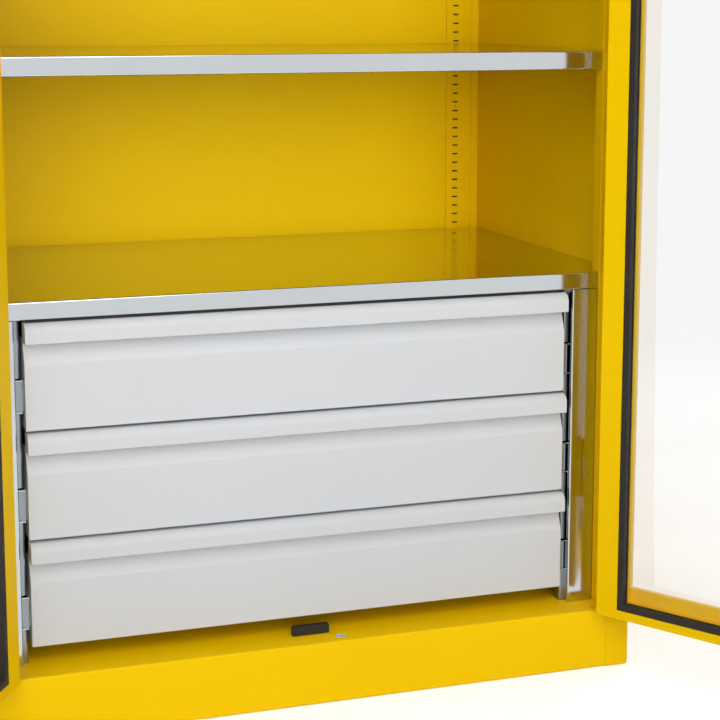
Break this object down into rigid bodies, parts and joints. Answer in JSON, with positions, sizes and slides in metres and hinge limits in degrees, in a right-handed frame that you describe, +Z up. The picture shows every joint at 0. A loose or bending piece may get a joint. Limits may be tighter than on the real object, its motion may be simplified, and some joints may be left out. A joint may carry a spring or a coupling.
{
  "type": "drawer cabinet",
  "caption": "Tall heavy-duty steel cupboard with hinged window doors, adjustable shelves and a block of full-width drawers on runners.",
  "frame": {"origin": "on the ground, at the middle of the carcass's footprint, on the foot of the base beam", "axes": "+X to the right seen from the front, +Y to the back, +Z up; the doors and drawers open towards -Y"},
  "size_m": [1.3709, 1.0158, 1.95],
  "materials": {
    "yellow_paint": "satin powder coat",
    "grey_paint": "fine satin powder coat",
    "galvanised": "zinc plated sheet, satin",
    "runner_steel": "zinc plated, dull",
    "black_rubber": "matt",
    "black_plastic": "fine grain",
    "clear_acrylic": "clear, glossy"
  },
  "bodies": {
    "root": {"side_wall_left": "yellow_paint", "side_wall_right": "yellow_paint", "back_panel": "yellow_paint", "roof_panel": "yellow_paint", "floor_panel": "yellow_paint", "base_beam": "yellow_paint", "levelling_glide_front_left": "black_plastic", "levelling_glide_front_right": "black_plastic", "levelling_glide_rear_left": "black_plastic", "levelling_glide_rear_right": "black_plastic", "door_stop_lower": "black_rubber", "door_stop_upper": "black_rubber", "slotted_strip_left": "yellow_paint", "slotted_strip_right": "yellow_paint", "drawer_block_top": "galvanised", "shelf_1": "galvanised", "shelf_2": "galvanised", "shelf_3": "galvanised", "shelf_arm_1_left": "galvanised", "shelf_arm_1_right": "galvanised", "shelf_arm_2_left": "galvanised", "shelf_arm_2_right": "galvanised", "shelf_arm_3_left": "galvanised", "shelf_arm_3_right": "galvanised", "runner_frame_left": "galvanised", "runner_frame_right": "galvanised", "hinge_post_leaf_lower_left": "yellow_paint", "hinge_post_leaf_lower_right": "yellow_paint", "hinge_post_leaf_upper_left": "yellow_paint", "hinge_post_leaf_upper_right": "yellow_paint"},
    "right_door": {"door_right": "yellow_paint", "window_seal_right": "black_rubber", "window_right": "clear_acrylic", "hinge_door_leaf_lower_right": "yellow_paint", "hinge_door_leaf_upper_right": "yellow_paint", "handle_plate": "black_plastic"},
    "left_door": {"door_left": "yellow_paint", "window_seal_left": "black_rubber", "window_left": "clear_acrylic", "hinge_door_leaf_lower_left": "yellow_paint", "hinge_door_leaf_upper_left": "yellow_paint", "overlap_strip": "yellow_paint"},
    "handle": {"handle_lever": "black_plastic", "lock_cam": "runner_steel"},
    "lower_rod": {"lock_rod_lower": "runner_steel"},
    "upper_rod": {"lock_rod_upper": "runner_steel"},
    "drawer_1": {"drawer_tray_1": "grey_paint", "drawer_front_1": "grey_paint"},
    "drawer_2": {"drawer_tray_2": "grey_paint", "drawer_front_2": "grey_paint"},
    "drawer_3": {"drawer_tray_3": "grey_paint", "drawer_front_3": "grey_paint"},
    "runner_1": {"runner_middle_1_left": "runner_steel", "runner_middle_1_right": "runner_steel"},
    "runner_2": {"runner_middle_2_left": "runner_steel", "runner_middle_2_right": "runner_steel"},
    "runner_3": {"runner_middle_3_left": "runner_steel", "runner_middle_3_right": "runner_steel"}
  },
  "joints": [
    {"name": "right_door_hinge", "type": "hinge", "parent": "root", "child": "right_door", "pos_m": [0.4461, -0.3045, 0.9], "axis": [0, 0, 1], "range_deg": [-121, 0]},
    {"name": "left_door_hinge", "type": "hinge", "parent": "root", "child": "left_door", "pos_m": [-0.4461, -0.3045, 0.9], "axis": [0, 0, -1], "range_deg": [-121, 0]},
    {"name": "handle_turn", "type": "hinge", "parent": "right_door", "child": "handle", "pos_m": [0.65928, -0.66803, 1], "axis": [0.8572, 0.515, 0], "range_deg": [-90, 0]},
    {"name": "lower_rod_slide", "type": "slide", "parent": "right_door", "child": "lower_rod", "axis": [0, 0, 1], "range_m": [-0.014, 0]},
    {"name": "upper_rod_slide", "type": "slide", "parent": "right_door", "child": "upper_rod", "axis": [0, 0, -1], "range_m": [-0.014, 0]},
    {"name": "drawer_1_slide", "type": "slide", "parent": "root", "child": "drawer_1", "axis": [0, -1, 0], "range_m": [0, 0.4]},
    {"name": "drawer_2_slide", "type": "slide", "parent": "root", "child": "drawer_2", "axis": [0, -1, 0], "range_m": [0, 0.4]},
    {"name": "drawer_3_slide", "type": "slide", "parent": "root", "child": "drawer_3", "axis": [0, -1, 0], "range_m": [0, 0.4]},
    {"name": "runner_1_slide", "type": "slide", "parent": "root", "child": "runner_1", "axis": [0, -1, 0], "range_m": [0, 0.2]},
    {"name": "runner_2_slide", "type": "slide", "parent": "root", "child": "runner_2", "axis": [0, -1, 0], "range_m": [0, 0.2]},
    {"name": "runner_3_slide", "type": "slide", "parent": "root", "child": "runner_3", "axis": [0, -1, 0], "range_m": [0, 0.2]}
  ],
  "couplings": [
    {"joint": "lower_rod_slide", "follows": "handle_turn", "m_per_rad": 0.0089},
    {"joint": "upper_rod_slide", "follows": "handle_turn", "m_per_rad": 0.0089},
    {"joint": "runner_1_slide", "follows": "drawer_1_slide", "ratio": 0.5},
    {"joint": "runner_2_slide", "follows": "drawer_2_slide", "ratio": 0.5},
    {"joint": "runner_3_slide", "follows": "drawer_3_slide", "ratio": 0.5}
  ]
}
